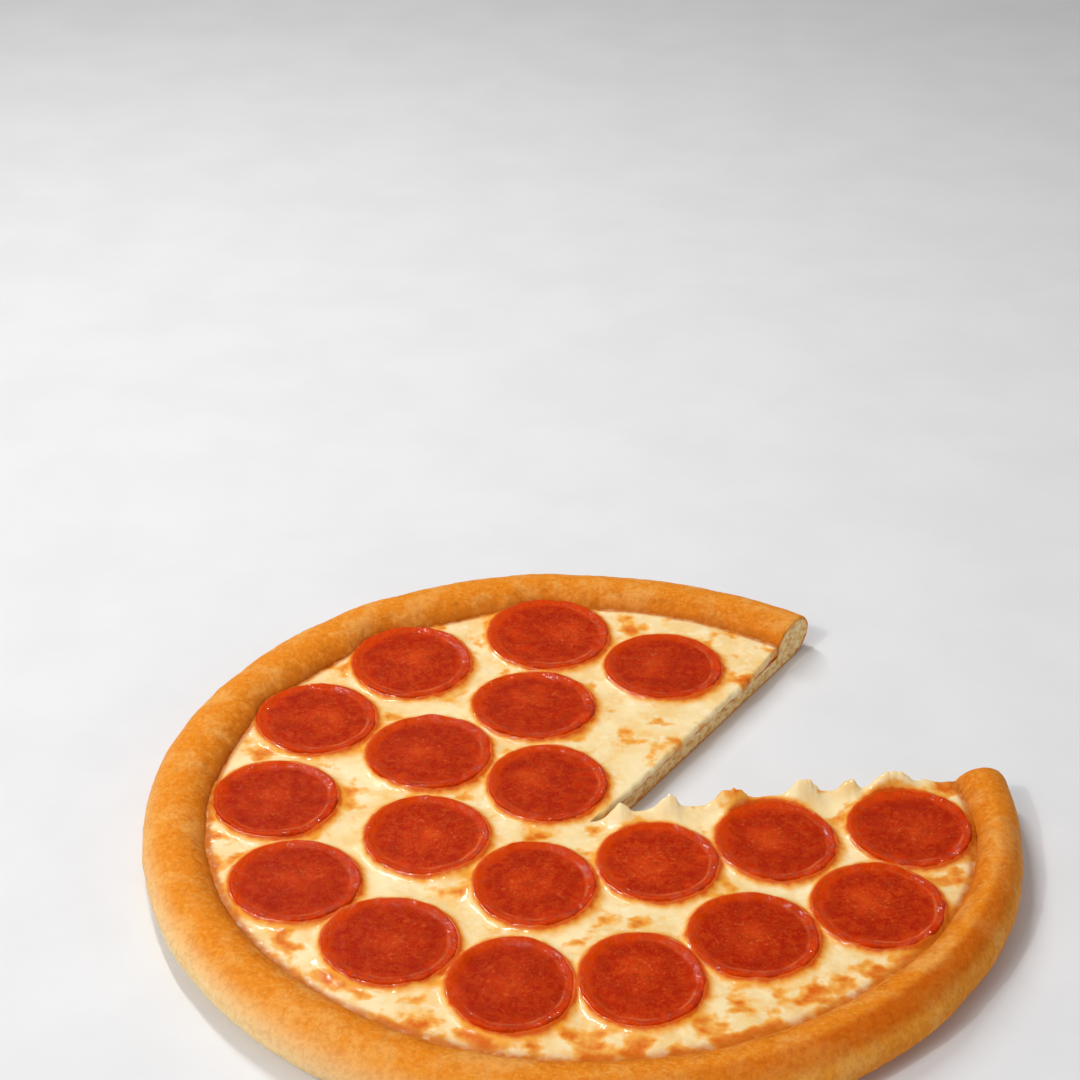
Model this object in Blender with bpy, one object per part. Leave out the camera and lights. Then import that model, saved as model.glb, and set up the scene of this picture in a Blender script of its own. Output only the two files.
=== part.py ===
"""A round pepperoni pizza with one slice taken out: dough, melted cheese and nineteen pepperoni slices.

The pizza lies flat on z = 0 with its middle on the z axis. Lengths are in metres, bearings in degrees
from +X, anticlockwise seen from above.
"""

from math import atan2, cos, degrees, exp, hypot, pi, radians, sin

import bmesh
import bpy
from mathutils import Vector

# Dough
PIZZA_RADIUS = 0.150
BASE_THICKNESS = 0.007
RIM_HEIGHT = 0.0175
RIM_HEIGHT_SWING = 0.0008
OUTLINE_SWING = 0.0006

# Cheese
CHEESE_RADIUS = 0.1252
CHEESE_LEVEL = 0.0108
CHEESE_LUMP = 0.0004
CHEESE_CLIMB = 0.0008
CLIMB_WIDTH = 0.014

# Where the cheese was spread further out and the rim is narrower: bearing, half width, extra radius
WIDE_PATCHES = ((-10.0, 30.0, 0.0085), (-165.0, 40.0, 0.0026))

# The slice that was taken: its point, and the bearings of its two cuts
CUT_POINT = (0.003, -0.009)
NEAR_CUT = 12.5
FAR_CUT = 57.5
CUTTER_REACH = 0.30
CUTTER_LOW, CUTTER_HIGH = -0.02, 0.05

# The soft edge that the cheese keeps along a cut: the cut, how far it rises over the cheese and stands out.
# The near one was pulled up with the slice.
LIPS = ((NEAR_CUT, 0.0024, 0.0024), (FAR_CUT, 0.0004, 0.0012))
LIP_BACK = 0.0042
LIP_SINK = 0.0007
LIP_DEPTH = 0.0026
LIP_BITE = 0.0004
LIP_STEPS = 36
LIP_START = 0.004
LIP_STOP_SHORT = 0.003
LIP_THINNEST = 0.35
LIP_TAPER = 6
# Beads along a lip: radians of wave from end to end, share of the lip's size
LIP_BEADS = ((31, 0.16), (57, 0.10))
SLICE_KEEP_OFF = 0.0006

# Strands that fell over the near cut: distance along the cut, thickness, how far each hangs below the cheese
STRANDS = (
    (0.021, 0.0018, 0.0042),
    (0.034, 0.0022, 0.0062),
    (0.046, 0.0022, 0.0050),
    (0.077, 0.0019, 0.0070),
    (0.091, 0.0027, 0.0058),
    (0.120, 0.0021, 0.0044),
)
STRAND_START = 0.0008
STRAND_TURN = 0.45
STRAND_OFF_FACE = 0.0005
STRAND_ROOT = 1.15
STRAND_TIP = 0.55
BAR_SIDES = 8
STRAND_STEPS = 7

# Horns where strings were drawn up from the near cut's lip: distance along the cut, height, half width
HORNS = (
    (0.010, 0.0034, 0.0024),
    (0.027, 0.0040, 0.0026),
    (0.049, 0.0036, 0.0032),
    (0.072, 0.0042, 0.0030),
    (0.086, 0.0032, 0.0022),
    (0.106, 0.0038, 0.0036),
)
HORN_ROOT = 0.0022
HORN_START = 0.0014
HORN_TIP = 0.16
HORN_HOLLOW = 1.3
HORN_OUT = 0.35
HORN_ALONG = 0.40
HORN_STEPS = 4

# Pepperoni, in mm: bearing and distance of each slice from the pizza's middle, its width and its depth
PEPPERONI = (
    (71.0, 91.0, 43.5, 43.5),
    (97.7, 107.0, 47.0, 46.5),
    (127.8, 107.0, 45.0, 46.5),
    (154.6, 107.5, 43.0, 43.0),
    (181.1, 105.5, 43.6, 43.0),
    (206.2, 104.0, 43.5, 42.0),
    (231.0, 95.0, 43.5, 42.0),
    (257.3, 95.0, 40.4, 44.0),
    (282.6, 91.0, 40.0, 43.0),
    (310.0, 87.0, 41.8, 41.5),
    (332.5, 109.5, 43.4, 43.0),
    (355.4, 112.0, 42.5, 42.0),
    (107.8, 61.5, 44.3, 44.0),
    (153.2, 61.5, 44.5, 44.5),
    (200.8, 55.5, 43.0, 41.5),
    (251.4, 46.0, 40.4, 43.0),
    (310.3, 40.0, 40.4, 41.5),
    (345.0, 68.0, 41.4, 41.5),
    (137.7, 16.5, 41.5, 44.5),
)
PEPPERONI_THICKNESS = 0.0016
PEPPERONI_LIFT = 0.0004
RIM_GIVE = 0.0012
PEPPERONI_CREST = 0.0011
# How a slice's outline wavers: waves round it, share of its radius
PEPPERONI_WAVES = ((2, 0.014), (5, 0.008))
UNEVEN_MOST = 1 + sum(share for _, share in PEPPERONI_WAVES)
# One slice's section: share of its radius, and height there as shares of the thickness and the crest
PEPPERONI_SECTION = (
    (0.50, 0.95, 0.00),
    (0.80, 0.90, 0.12),
    (0.93, 1.00, 1.00),
    (1.00, 0.62, 0.45),
    (0.94, 0.00, 0.00),
    (0.50, 0.00, 0.00),
)

CLEARANCE = 0.00035
BEARINGS = 88
PEPPERONI_SIDES = 20
RIM_ANGLES = (-90, -62, -38, -14, 10, 33, 56, 78, 100, 122, 144, 164, 180)
BASE_RINGS = (0.36, 0.72)
CHEESE_RINGS = (0.14, 0.28, 0.42, 0.56, 0.70, 0.83, 0.93)


def material(name, colour, roughness):
    """A Principled BSDF of one colour."""
    made = bpy.data.materials.new(name)
    made.use_nodes = True
    shader = made.node_tree.nodes["Principled BSDF"]
    shader.inputs["Base Color"].default_value = (*colour, 1.0)
    shader.inputs["Roughness"].default_value = roughness
    return made


def bump(bearing, centre, half_width):
    """1 at the centre bearing, fading to 0 over about twice the half width."""
    away = (bearing - centre + 180.0) % 360.0 - 180.0
    return exp(-((away / half_width) ** 2))


def waver(bearing, phase):
    """A slow wobble round the pizza, between about -1 and 1."""
    turn = radians(bearing)
    return 0.5 * sin(2 * turn + phase) + 0.3 * sin(3 * turn + 2.3 * phase) + 0.2 * sin(7 * turn + 4.1 * phase)


def outer_radius(bearing):
    """How far the dough reaches from the pizza's middle."""
    return PIZZA_RADIUS + OUTLINE_SWING * waver(bearing, 0.9)


def rim_height(bearing):
    """How high the rim stands."""
    return RIM_HEIGHT + RIM_HEIGHT_SWING * waver(bearing, 3.1)


def pepperoni_edge(bearing, centre_bearing, distance, radius):
    """How far out a pepperoni slice reaches along this bearing, or 0 where it doesn't lie there."""
    away = radians(bearing - centre_bearing)
    aside = distance * sin(away)
    if cos(away) < 0 or abs(aside) > radius:
        return 0.0
    return distance * cos(away) + (radius**2 - aside**2) ** 0.5


def cheese_radius(bearing):
    """Where cheese and rim meet. The rim gives way to a pepperoni slice that leans on it."""
    spread = sum(extra * bump(bearing, centre, width) for centre, width, extra in WIDE_PATCHES)
    plain = CHEESE_RADIUS + spread + 0.5 * OUTLINE_SWING * waver(3 * bearing, 5.0)
    leaning = [
        pepperoni_edge(bearing, turn, distance / 1000, max(width, depth) / 2000 + RIM_GIVE)
        for turn, distance, width, depth in PEPPERONI
    ]
    return max(plain, *leaning)


def cheese_level(x, y):
    """Height of the melted cheese: low lumps, and a climb where it meets the rim."""
    lumps = 0.7 * sin(88 * x + 1.3) * cos(80 * y - 0.4) + 0.4 * sin(60 * x - 95 * y)
    from_rim = cheese_radius(degrees(atan2(y, x))) - hypot(x, y)
    climb = CHEESE_CLIMB * exp(-((from_rim / CLIMB_WIDTH) ** 2))
    return CHEESE_LEVEL + CHEESE_LUMP * lumps + climb


def crust_section(bearing):
    """Radius and height of the dough, from under its middle, round the rim and back to the base's top."""
    outer, height = outer_radius(bearing), rim_height(bearing)
    half_width = (outer - cheese_radius(bearing) - CLEARANCE) / 2
    middle = outer - half_width
    rim = [
        (middle + half_width * cos(radians(a)), height / 2 * (1 + sin(radians(a))))
        for a in RIM_ANGLES
    ]
    foot = outer - 2 * half_width
    under = [(share * middle, 0.0) for share in BASE_RINGS]
    top = [(share * foot, BASE_THICKNESS) for share in reversed(BASE_RINGS)]
    return [*under, *rim, (foot, BASE_THICKNESS), *top]


def cheese_section(bearing):
    """Radius and height of the cheese, from under its middle, up its edge and back over its top."""
    edge = cheese_radius(bearing)
    under = [(share * edge, BASE_THICKNESS + CLEARANCE) for share in (*BASE_RINGS, 1.0)]
    over = []
    for share in (1.0, *reversed(CHEESE_RINGS)):
        radius = share * edge
        x, y = radius * cos(radians(bearing)), radius * sin(radians(bearing))
        over.append((radius, cheese_level(x, y)))
    return [*under, *over]


def turned(name, section_at, low_middle, high_middle, look):
    """A closed round solid whose section may change with the bearing."""
    bm = bmesh.new()
    rows = []
    for i in range(BEARINGS):
        bearing = 360.0 * i / BEARINGS
        c, s = cos(radians(bearing)), sin(radians(bearing))
        rows.append([bm.verts.new((r * c, r * s, z)) for r, z in section_at(bearing)])
    low = bm.verts.new((0, 0, low_middle))
    high = bm.verts.new((0, 0, high_middle))
    for here, after in zip(rows, rows[1:] + rows[:1]):
        bm.faces.new((low, after[0], here[0]))
        bm.faces.new((high, here[-1], after[-1]))
        for j in range(len(here) - 1):
            bm.faces.new((here[j], after[j], after[j + 1], here[j + 1]))
    return finished(name, bm, look)


def finished(name, bm, look, smooth_angle=35):
    """Puts a bmesh into a new object with outward faces and its material."""
    bmesh.ops.recalc_face_normals(bm, faces=bm.faces)
    mesh = bpy.data.meshes.new(name)
    bm.to_mesh(mesh)
    bm.free()
    mesh.materials.append(look)
    mesh.shade_smooth()
    mesh.set_sharp_from_angle(angle=radians(smooth_angle))
    made = bpy.data.objects.new(name, mesh)
    bpy.context.scene.collection.objects.link(made)
    return made


def along_cut(bearing, distance):
    """A point on a cut, this far from the slice's point."""
    return Vector(CUT_POINT) + distance * Vector((cos(radians(bearing)), sin(radians(bearing))))


def cut_length(bearing):
    """How far along a cut the cheese reaches."""
    distance = 0.0
    step = 0.0005
    while True:
        x, y = along_cut(bearing, distance)
        if hypot(x, y) > cheese_radius(degrees(atan2(y, x))):
            return distance
        distance += step


def slice_cutter():
    """The wedge that the taken slice leaves, used to cut dough and cheese."""
    bm = bmesh.new()
    corners = [
        Vector(CUT_POINT),
        along_cut(NEAR_CUT, CUTTER_REACH),
        along_cut(FAR_CUT, CUTTER_REACH),
    ]
    base = bm.faces.new([bm.verts.new((c.x, c.y, CUTTER_LOW)) for c in corners])
    raised = bmesh.ops.extrude_face_region(bm, geom=[base])
    lifted = [g for g in raised["geom"] if isinstance(g, bmesh.types.BMVert)]
    bmesh.ops.translate(bm, verts=lifted, vec=(0, 0, CUTTER_HIGH - CUTTER_LOW))
    cutter = finished("slice_cutter", bm, material("guide", (0.5, 0.5, 0.5), 1.0))
    cutter.hide_render = True
    cutter.display_type = "WIRE"
    return cutter


def skinned(bm, rings, look, name):
    """Closes a row of equal rings of points into one solid bar."""
    for here, after in zip(rings, rings[1:]):
        for k in range(len(here)):
            nxt = (k + 1) % len(here)
            bm.faces.new((here[k], here[nxt], after[nxt], after[k]))
    bm.faces.new(rings[0])
    bm.faces.new(rings[-1])
    return finished(name, bm, look)


def tube(centres, radii, across, look, name):
    """A round bar through the centres, with its own radius at each. It bends only square to across."""
    bm = bmesh.new()
    rings = []
    for i, (centre, radius) in enumerate(zip(centres, radii)):
        before, after = centres[max(i - 1, 0)], centres[min(i + 1, len(centres) - 1)]
        up = across.cross((after - before).normalized())
        turns = [2 * pi * k / BAR_SIDES for k in range(BAR_SIDES)]
        rings.append([bm.verts.new(centre + radius * (cos(t) * across + sin(t) * up)) for t in turns])
    return skinned(bm, rings, look, name)


def into_gap(bearing):
    """The level direction that leaves a cut face at right angles, into the gap."""
    side = 1 if bearing == NEAR_CUT else -1
    return side * Vector((-sin(radians(bearing)), cos(radians(bearing)), 0))


def slice_gap(x, y):
    """Distance from a point to the nearest pepperoni slice's edge."""
    gaps = []
    for bearing, distance, width, depth in PEPPERONI:
        x0 = distance / 1000 * cos(radians(bearing))
        y0 = distance / 1000 * sin(radians(bearing))
        gaps.append(hypot(x - x0, y - y0) - UNEVEN_MOST * max(width, depth) / 2000)
    return min(gaps)


def lip(bearing, rise, out, look):
    """The soft edge of molten cheese along one cut. It stays off the pepperoni slices."""
    reach = cut_length(bearing) - LIP_STOP_SHORT
    outward = into_gap(bearing)
    bm = bmesh.new()
    rings = []
    for i in range(LIP_STEPS + 1):
        share = i / LIP_STEPS
        x, y = along_cut(bearing, LIP_START + (reach - LIP_START) * share)
        back = max(LIP_BITE, min(LIP_BACK, slice_gap(x, y) - SLICE_KEEP_OFF))
        taper = min(1.0, LIP_THINNEST + LIP_TAPER * min(share, 1 - share))
        beads = 1 + sum(size * sin(turns * share + bearing) for turns, size in LIP_BEADS)
        high, wide = rise * taper * beads, out * taper * beads
        section = (
            (-back, -LIP_SINK),
            (-0.45 * back, 0.40 * high),
            (0.15 * wide, high),
            (0.75 * wide, 0.70 * high),
            (wide, 0.0),
            (0.80 * wide, -0.55 * LIP_DEPTH),
            (0.35 * wide, -LIP_DEPTH),
            (-LIP_BITE, -LIP_DEPTH),
        )
        foot = Vector((x, y, cheese_level(x, y)))
        rings.append([bm.verts.new(foot + a * outward + Vector((0, 0, b))) for a, b in section])
    return skinned(bm, rings, look, f"lip_{bearing:.0f}")


def strand(distance, thickness, drop, look):
    """One strand over the near cut: from the lip's crest, round its front and down the cut face."""
    x, y = along_cut(NEAR_CUT, distance)
    outward = into_gap(NEAR_CUT)
    along = outward.cross(Vector((0, 0, 1)))
    start = Vector((x, y, cheese_level(x, y)))
    _, rise, lip_out = LIPS[0]
    centres, radii = [], []
    for i in range(STRAND_STEPS + 1):
        share = i / STRAND_STEPS
        turn = radians(90) * min(1.0, share / STRAND_TURN)
        fallen = max(0.0, share - STRAND_TURN) / (1 - STRAND_TURN)
        furthest = lip_out + thickness / 4
        out = furthest * sin(turn) + (STRAND_OFF_FACE + thickness / 2 - furthest) * fallen
        up = (rise - STRAND_START) * cos(turn) - drop * fallen
        centres.append(start + out * outward + Vector((0, 0, up)))
        radii.append(thickness / 2 * (STRAND_ROOT - STRAND_TIP * share))
    return tube(centres, radii, along, look, "strand")


def horn(distance, height, half_width, look):
    """A short tapered horn on the near cut's lip, which leans into the gap and towards the rim."""
    x, y = along_cut(NEAR_CUT, distance)
    outward = into_gap(NEAR_CUT)
    along = outward.cross(Vector((0, 0, 1)))
    start = Vector((x, y, cheese_level(x, y))) + HORN_START * outward
    _, rise, _ = LIPS[0]
    centres, radii = [], []
    for i in range(HORN_STEPS + 1):
        share = i / HORN_STEPS
        up = rise - HORN_ROOT + (HORN_ROOT + height) * share
        sway = height * share**2
        centres.append(start + Vector((0, 0, up)) + sway * (HORN_OUT * outward + HORN_ALONG * along))
        radii.append(half_width * (HORN_TIP + (1 - HORN_TIP) * (1 - share) ** HORN_HOLLOW))
    return tube(centres, radii, along, look, "horn")


def joined(base, pieces):
    """Fuses the pieces onto the base with one Boolean union, which is applied."""
    group = bpy.data.collections.new("to_join")
    for piece in pieces:
        group.objects.link(piece)
    union = base.modifiers.new("Union", "BOOLEAN")
    union.operation = "UNION"
    union.operand_type = "COLLECTION"
    union.collection = group
    with bpy.context.temp_override(object=base, active_object=base):
        bpy.ops.object.modifier_apply(modifier=union.name)
    for piece in pieces:
        bpy.data.objects.remove(piece)
    bpy.data.collections.remove(group)


def cut_by(target, cutter):
    """Takes the slice out of the target, and applies the cut."""
    cut = target.modifiers.new("Slice taken", "BOOLEAN")
    cut.operation = "DIFFERENCE"
    cut.object = cutter
    with bpy.context.temp_override(object=target, active_object=target):
        bpy.ops.object.modifier_apply(modifier=cut.name)


def pepperoni(number, bearing, distance, width, depth, look):
    """One pepperoni slice: a thin dish with a raised edge, lying on the cheese."""
    x0 = distance * cos(radians(bearing))
    y0 = distance * sin(radians(bearing))
    bm = bmesh.new()

    def point(share, thickness, crest, k):
        turn = 2 * pi * k / PEPPERONI_SIDES
        uneven = 1 + sum(size * sin(waves * turn + waves * number) for waves, size in PEPPERONI_WAVES)
        x = x0 + share * width / 2 * uneven * cos(turn)
        y = y0 + share * depth / 2 * uneven * sin(turn)
        lift = thickness * PEPPERONI_THICKNESS + crest * PEPPERONI_CREST
        return bm.verts.new((x, y, cheese_level(x, y) + PEPPERONI_LIFT + lift))

    rings = [[point(*row, k) for k in range(PEPPERONI_SIDES)] for row in PEPPERONI_SECTION]
    top, bottom = point(0, 1, 0, 0), point(0, 0, 0, 0)
    for k in range(PEPPERONI_SIDES):
        nxt = (k + 1) % PEPPERONI_SIDES
        bm.faces.new((top, rings[0][k], rings[0][nxt]))
        bm.faces.new((bottom, rings[-1][nxt], rings[-1][k]))
        for inner, outer in zip(rings, rings[1:]):
            bm.faces.new((inner[k], outer[k], outer[nxt], inner[nxt]))
    return finished(f"pepperoni_{number:02d}", bm, look)


def main():
    """Builds the dough, the cheese with its drawn edge, and the slices."""
    for old in list(bpy.data.objects):
        bpy.data.objects.remove(old)
    dough = material("crust", (0.62, 0.32, 0.09), 0.75)
    mozzarella = material("cheese", (0.86, 0.66, 0.33), 0.45)
    meat = material("pepperoni", (0.47, 0.06, 0.02), 0.35)

    crust = turned("crust", crust_section, 0.0, BASE_THICKNESS, dough)
    cheese = turned("cheese", cheese_section, BASE_THICKNESS + CLEARANCE, cheese_level(0, 0), mozzarella)
    cutter = slice_cutter()
    cut_by(crust, cutter)
    cut_by(cheese, cutter)
    lips = [lip(*row, mozzarella) for row in LIPS]
    fallen = [strand(*row, mozzarella) for row in STRANDS]
    horns = [horn(*row, mozzarella) for row in HORNS]
    joined(cheese, [*lips, *fallen, *horns])
    for number, (bearing, *lengths) in enumerate(PEPPERONI, start=1):
        distance, width, depth = (length / 1000 for length in lengths)
        pepperoni(number, bearing, distance, width, depth, meat)


main()
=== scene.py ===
"""Looks of the pepperoni pizza: baked dough, melted cheese, a line of sauce and nineteen pepperoni slices.

Lengths are in metres and bearings in degrees from +X, anticlockwise seen from above, unless a name says
otherwise. The forms of dough, cheese and slices repeat the CAD's, with finer relief.
"""

from math import cos, hypot, pi, radians, sin, tan

import bpy
import numpy as np
from mathutils import Matrix, Vector
from mathutils.geometry import delaunay_2d_cdt


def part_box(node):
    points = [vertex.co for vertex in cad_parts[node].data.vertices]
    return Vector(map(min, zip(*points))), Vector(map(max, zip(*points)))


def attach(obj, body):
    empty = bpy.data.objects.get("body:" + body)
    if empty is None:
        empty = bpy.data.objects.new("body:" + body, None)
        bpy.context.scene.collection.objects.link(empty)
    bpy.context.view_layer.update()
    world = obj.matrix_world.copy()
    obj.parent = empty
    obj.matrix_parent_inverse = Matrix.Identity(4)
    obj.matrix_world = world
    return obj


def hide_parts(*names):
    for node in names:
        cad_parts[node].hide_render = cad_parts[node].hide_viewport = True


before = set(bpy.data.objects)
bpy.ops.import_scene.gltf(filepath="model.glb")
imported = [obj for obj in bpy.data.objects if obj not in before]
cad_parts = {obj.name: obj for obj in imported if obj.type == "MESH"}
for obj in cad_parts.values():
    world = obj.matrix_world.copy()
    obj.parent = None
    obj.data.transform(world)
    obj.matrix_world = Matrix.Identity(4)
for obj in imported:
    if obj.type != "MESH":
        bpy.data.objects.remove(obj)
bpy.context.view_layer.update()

# The dough and cheese, as in the CAD
PIZZA_RADIUS = 0.150
BASE_THICKNESS = 0.007
RIM_HEIGHT = 0.0175
RIM_HEIGHT_SWING = 0.0008
OUTLINE_SWING = 0.0006
CHEESE_RADIUS = 0.1252
CHEESE_LEVEL = 0.0108
CHEESE_LUMP = 0.0004
CHEESE_CLIMB = 0.0008
CLIMB_WIDTH = 0.014
WIDE_PATCHES = ((-10.0, 30.0, 0.0085), (-165.0, 40.0, 0.0026))
CLEARANCE = 0.00035
RIM_GIVE = -0.0012

# The slice that was taken: its point, and the bearings of its two cuts
CUT_POINT = np.array((0.003, -0.009))
NEAR_CUT = 12.5
FAR_CUT = 57.5

# Where strings of cheese pulled the near cut's edge up: distance along the cut, height, half width
ROOTS = (
    (0.010, 0.0034, 0.0035),
    (0.027, 0.0044, 0.0040),
    (0.049, 0.0040, 0.0060),
    (0.075, 0.0046, 0.0050),
    (0.092, 0.0036, 0.0030),
    (0.107, 0.0042, 0.0070),
)

# Strings that fell back over the near cut: distance along it, half width, how far each hangs below the cheese
DRIPS = (
    (0.021, 0.0012, 0.0022),
    (0.034, 0.0014, 0.0042),
    (0.046, 0.0016, 0.0030),
    (0.077, 0.0013, 0.0050),
    (0.091, 0.0018, 0.0038),
    (0.120, 0.0015, 0.0026),
)

PEPPERONI_COUNT = 19

# How fine the meshes are. The rays that carry the dough's sections lie closer together at both cuts.
CHEESE_SPACING = 0.00078
SAUCE_SPACING = 0.0010
FACE_SPACING = 0.00036
RAYS = 1000
ENDS_CLOSER = 0.12
UNDERSIDE_STEPS = 36
RIM_STEPS = 60
SKIRT_ROWS = 14
SAUCE_ROWS = 6
PEPPERONI_SIDES = 160
SLICE_RINGS = 64


# Noise

GRID = np.random.default_rng(11)
SHUFFLE = np.tile(GRID.permutation(256), 2)
SLOPES = GRID.normal(size=(256, 3))
SLOPES /= np.linalg.norm(SLOPES, axis=1)[:, None]


def noise(points, size, shift=0.0):
    """Smooth noise from about -1 to 1, with lumps about this size. points is an array of x, y, z rows."""
    scaled = np.asarray(points, float) / size + shift
    whole = np.floor(scaled).astype(int)
    part = scaled - whole
    fade = part**3 * (part * (part * 6 - 15) + 10)
    total = np.zeros(len(scaled))
    for corner in np.ndindex(2, 2, 2):
        cell = (whole + corner) & 255
        pick = SHUFFLE[SHUFFLE[SHUFFLE[cell[:, 0]] + cell[:, 1]] + cell[:, 2]]
        slope = np.einsum("ij,ij->i", SLOPES[pick], part - corner)
        weight = np.prod(np.where(corner, fade, 1 - fade), axis=1)
        total += weight * slope
    return 1.7 * total


def layered(points, size, layers, shift=0.0):
    """Noise added up at finer and finer sizes, each half as strong as the last."""
    total = np.zeros(len(points))
    for layer in range(layers):
        total += noise(points, size / 2**layer, shift + 17.3 * layer) / 2**layer
    return total


def relief(points, rows):
    """Layered noise added up. Each row is its strength in metres, size, layers and shift."""
    return sum(strength * layered(points, size, layers, shift) for strength, size, layers, shift in rows)


def flattened(xy):
    """The points at height 0, for noise that doesn't change with height."""
    return np.column_stack([xy, np.zeros(len(xy))])


def bubbles(points, size, shift=0.0):
    """Distance to the nearest of many scattered centres, in shares of their spacing."""
    scaled = np.asarray(points, float) / size + shift
    whole = np.floor(scaled).astype(int)
    nearest = np.full(len(scaled), 9.0)
    for offset in np.ndindex(3, 3, 3):
        cell = whole + offset - 1
        wrapped = cell & 255
        pick = SHUFFLE[SHUFFLE[SHUFFLE[wrapped[:, 0]] + wrapped[:, 1]] + wrapped[:, 2]]
        centre = cell + 0.5 + 0.42 * SLOPES[pick]
        nearest = np.minimum(nearest, np.linalg.norm(scaled - centre, axis=1))
    return nearest


def ramp(value, low, high):
    """0 below low, 1 above high, and smooth between them."""
    share = np.clip((value - low) / (high - low), 0, 1)
    return share * share * (3 - 2 * share)


def plateau(value, rise, top, fall, end):
    """0 up to rise, 1 from top to fall, 0 again from end on, and smooth between them."""
    return ramp(value, rise, top) * (1 - ramp(value, fall, end))


# Forms of the dough and the cheese

def bump(bearing, centre, half_width):
    """1 at the centre bearing, fading to 0 over about twice the half width."""
    away = (bearing - centre + 180.0) % 360.0 - 180.0
    return np.exp(-((away / half_width) ** 2))


def round_rim(bearing, rows):
    """Adds up bumps. Each row is a share, a bearing and a half width."""
    return sum(share * bump(bearing, centre, half_width) for share, centre, half_width in rows)


def bearing_of(xy):
    return np.degrees(np.arctan2(xy[:, 1], xy[:, 0]))


def waver(bearing, phase):
    """A slow wobble round the pizza, between about -1 and 1."""
    turn = np.radians(bearing)
    slow = 0.5 * np.sin(2 * turn + phase) + 0.3 * np.sin(3 * turn + 2.3 * phase)
    return slow + 0.2 * np.sin(7 * turn + 4.1 * phase)


def outer_radius(bearing):
    """How far the dough reaches from the pizza's middle."""
    return PIZZA_RADIUS + OUTLINE_SWING * waver(bearing, 0.9)


def rim_height(bearing):
    """How high the rim stands."""
    return RIM_HEIGHT + RIM_HEIGHT_SWING * waver(bearing, 3.1)


def measured_slices():
    """Middle, half width and half depth of each pepperoni slice, from the CAD's boxes."""
    rows = []
    for number in range(1, PEPPERONI_COUNT + 1):
        low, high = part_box(f"pepperoni_{number:02d}")
        middle, half = (low + high) / 2, (high - low) / 2
        rows.append((middle.x, middle.y, half.x, half.y))
    return np.array(rows)


SLICES = measured_slices()


def cheese_radius(bearing):
    """Where cheese and rim meet. The rim gives way to a pepperoni slice that leans on it."""
    bearing = np.asarray(bearing, float)
    reach = CHEESE_RADIUS + 0.5 * OUTLINE_SWING * waver(3 * bearing, 5.0)
    for centre, width, extra in WIDE_PATCHES:
        reach = reach + extra * bump(bearing, centre, width)
    for x, y, half_x, half_y in SLICES:
        distance = hypot(x, y)
        radius = max(half_x, half_y) + RIM_GIVE
        away = np.radians(bearing) - np.arctan2(y, x)
        aside = distance * np.sin(away)
        there = (np.cos(away) > 0) & (np.abs(aside) < radius)
        edge = distance * np.cos(away) + np.sqrt(np.maximum(radius**2 - aside**2, 0))
        reach = np.where(there, np.maximum(reach, edge), reach)
    return reach


def from_rim(xy):
    """How far inside the line where cheese and rim meet."""
    return cheese_radius(bearing_of(xy)) - np.hypot(xy[:, 0], xy[:, 1])


def cheese_level(xy):
    """The CAD's height of the cheese: low lumps, and a climb where it meets the rim."""
    x, y = xy[:, 0], xy[:, 1]
    lumps = 0.7 * np.sin(88 * x + 1.3) * np.cos(80 * y - 0.4) + 0.4 * np.sin(60 * x - 95 * y)
    climb = CHEESE_CLIMB * np.exp(-((from_rim(xy) / CLIMB_WIDTH) ** 2))
    return CHEESE_LEVEL + CHEESE_LUMP * lumps + climb


def direction(bearing):
    """The level direction of a bearing."""
    return np.array((cos(radians(bearing)), sin(radians(bearing))))


def into_gap(bearing):
    """The level direction that leaves a cut face at right angles, into the gap."""
    along = direction(bearing)
    side = 1 if bearing == NEAR_CUT else -1
    return side * np.array((-along[1], along[0]))


def from_cut(xy, bearing):
    """How far each point lies along a cut, and how far behind its face."""
    reach = xy - CUT_POINT
    return reach @ direction(bearing), -(reach @ into_gap(bearing))


def from_slices(xy):
    """Distance outside the nearest pepperoni slice's edge, about, in metres. It is below 0 under a slice."""
    nearest = np.full(len(xy), 1.0)
    for x, y, half_x, half_y in SLICES:
        dx, dy = xy[:, 0] - x, xy[:, 1] - y
        share = np.hypot(dx / half_x, dy / half_y)
        nearest = np.minimum(nearest, (share - 1) * (half_x + half_y) / 2)
    return nearest


# Mesh helpers

def piece(name, points, faces, look):
    """A smooth mesh object that rides on the pizza's one body."""
    mesh = bpy.data.meshes.new(name)
    mesh.from_pydata([tuple(p) for p in points], [], faces)
    mesh.validate()
    mesh.materials.append(look)
    mesh.shade_smooth()
    made = bpy.data.objects.new(name, mesh)
    bpy.context.scene.collection.objects.link(made)
    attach(made, "root")
    return made


def store(made, name, values):
    """Keeps a number for each point, for the material to read."""
    attribute = made.data.attributes.new(name, "FLOAT", "POINT")
    attribute.data.foreach_set("value", np.asarray(values, np.float32))


def read_points(mesh, what="co"):
    """Every point's place, or its normal, as an array of rows."""
    flat = np.empty(len(mesh.vertices) * 3, np.float32)
    mesh.vertices.foreach_get(what, flat)
    return flat.reshape(-1, 3).astype(float)


def set_points(mesh, points):
    mesh.vertices.foreach_set("co", points.astype(np.float32).ravel())
    mesh.update()


def swollen(mesh, amount):
    """Moves each point along its normal by its own amount."""
    set_points(mesh, read_points(mesh) + read_points(mesh, "normal") * amount[:, None])


def joined_rows(starts, count):
    """Quads between closed rows of points, each of this count, whose first points have these numbers."""
    faces = []
    for above, below in zip(starts, starts[1:]):
        for k in range(count):
            after = (k + 1) % count
            faces.append((above + k, below + k, below + after, above + after))
    return faces


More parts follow.
